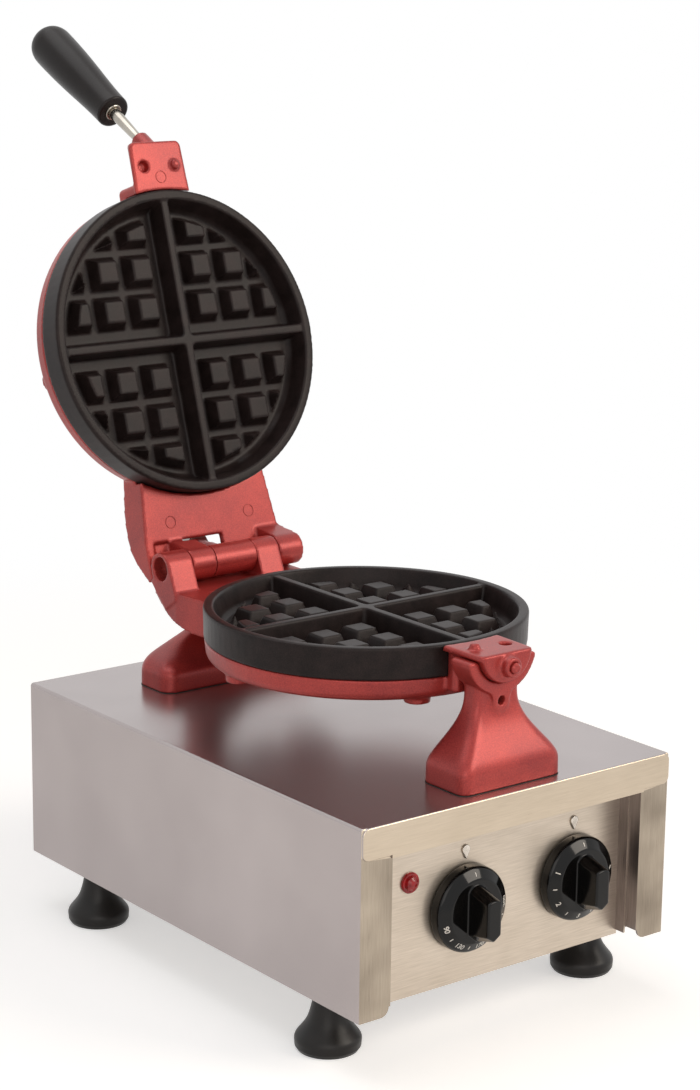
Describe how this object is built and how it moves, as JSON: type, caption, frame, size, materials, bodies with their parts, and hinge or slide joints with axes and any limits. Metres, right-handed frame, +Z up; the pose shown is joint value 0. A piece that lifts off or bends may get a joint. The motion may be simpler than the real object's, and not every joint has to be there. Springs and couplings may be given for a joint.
{
  "type": "round waffle maker",
  "caption": "Countertop round waffle maker: a folded steel base with dials carries a red cast pan, and its hinged lid closes over it with a slanted handle.",
  "frame": {"origin": "on the floor plane of the feet's soles, under the middle of the object's bounding box as it stands with its lid open", "axes": "+Z up; +Y from the controls towards the back; +X to the right as seen from the front"},
  "size_m": [0.254, 0.5571, 0.5972],
  "materials": {
    "casing_steel": "fine brushed stainless sheet, satin",
    "tray_steel": "plain stainless sheet",
    "rear_steel": "plain stainless sheet",
    "panel_steel": "brushed stainless sheet, warm",
    "red_paint": "metallic red stove enamel, satin, fine grain",
    "nonstick": "dark non-stick coating on cast aluminium, satin",
    "heater_sheath": "heat-stained sheath",
    "handle_black": "satin black grip",
    "bright_steel": "bright rod",
    "bright_chrome": "bright end cap",
    "knob_black": "gloss black with white dial marks",
    "lamp_red": "clear red lens",
    "housing_black": "black housing",
    "foot_rubber": "black rubber",
    "fastener_steel": "zinc-plated steel"
  },
  "bodies": {
    "base": {"casing_cover": "casing_steel", "bottom_tray": "tray_steel", "rear_panel": "rear_steel", "front_panel": "panel_steel", "front_pedestal": "red_paint", "rear_pedestal": "red_paint", "pedestal_bolts": "fastener_steel", "lower_casting": "red_paint", "lower_plate": "nonstick", "lower_heater": "heater_sheath", "lower_plate_screws": "fastener_steel", "index_pin": "red_paint", "journal_screw": "fastener_steel", "hinge_pin": "fastener_steel", "trunnion": "red_paint", "trunnion_nut": "fastener_steel", "thermostat_body": "housing_black", "timer_body": "housing_black", "control_screws": "fastener_steel", "lamp_lens": "lamp_red", "lamp_body": "housing_black", "cable_gland": "housing_black", "gland_nut": "housing_black", "rear_screws": "fastener_steel", "terminal_block": "housing_black", "earth_stud": "fastener_steel", "foot_front_left": "foot_rubber", "foot_front_right": "foot_rubber", "foot_rear_left": "foot_rubber", "foot_rear_right": "foot_rubber", "foot_screws": "fastener_steel", "foot_nuts": "fastener_steel"},
    "lid": {"upper_casting": "red_paint", "upper_plate": "nonstick", "upper_heater": "heater_sheath", "upper_plate_screws": "fastener_steel", "handle_rod": "bright_steel", "handle_grip": "handle_black", "handle_ferrule": "bright_chrome"},
    "thermostat_dial": {"thermostat_knob": "knob_black", "thermostat_shaft": "fastener_steel"},
    "timer_dial": {"timer_knob": "knob_black", "timer_shaft": "fastener_steel"}
  },
  "joints": [
    {"name": "lid_hinge", "type": "hinge", "parent": "base", "child": "lid", "pos_m": [0, 0.0428, 0.2435], "axis": [1, 0, 0], "range_deg": [0, 107.6]},
    {"name": "thermostat_turn", "type": "hinge", "parent": "base", "child": "thermostat_dial", "pos_m": [-0.0295, -0.2495, 0.086], "axis": [0, 1, 0], "range_deg": [0, 285]},
    {"name": "timer_turn", "type": "hinge", "parent": "base", "child": "timer_dial", "pos_m": [0.0603, -0.2495, 0.086], "axis": [0, 1, 0], "range_deg": [0, 300]}
  ]
}
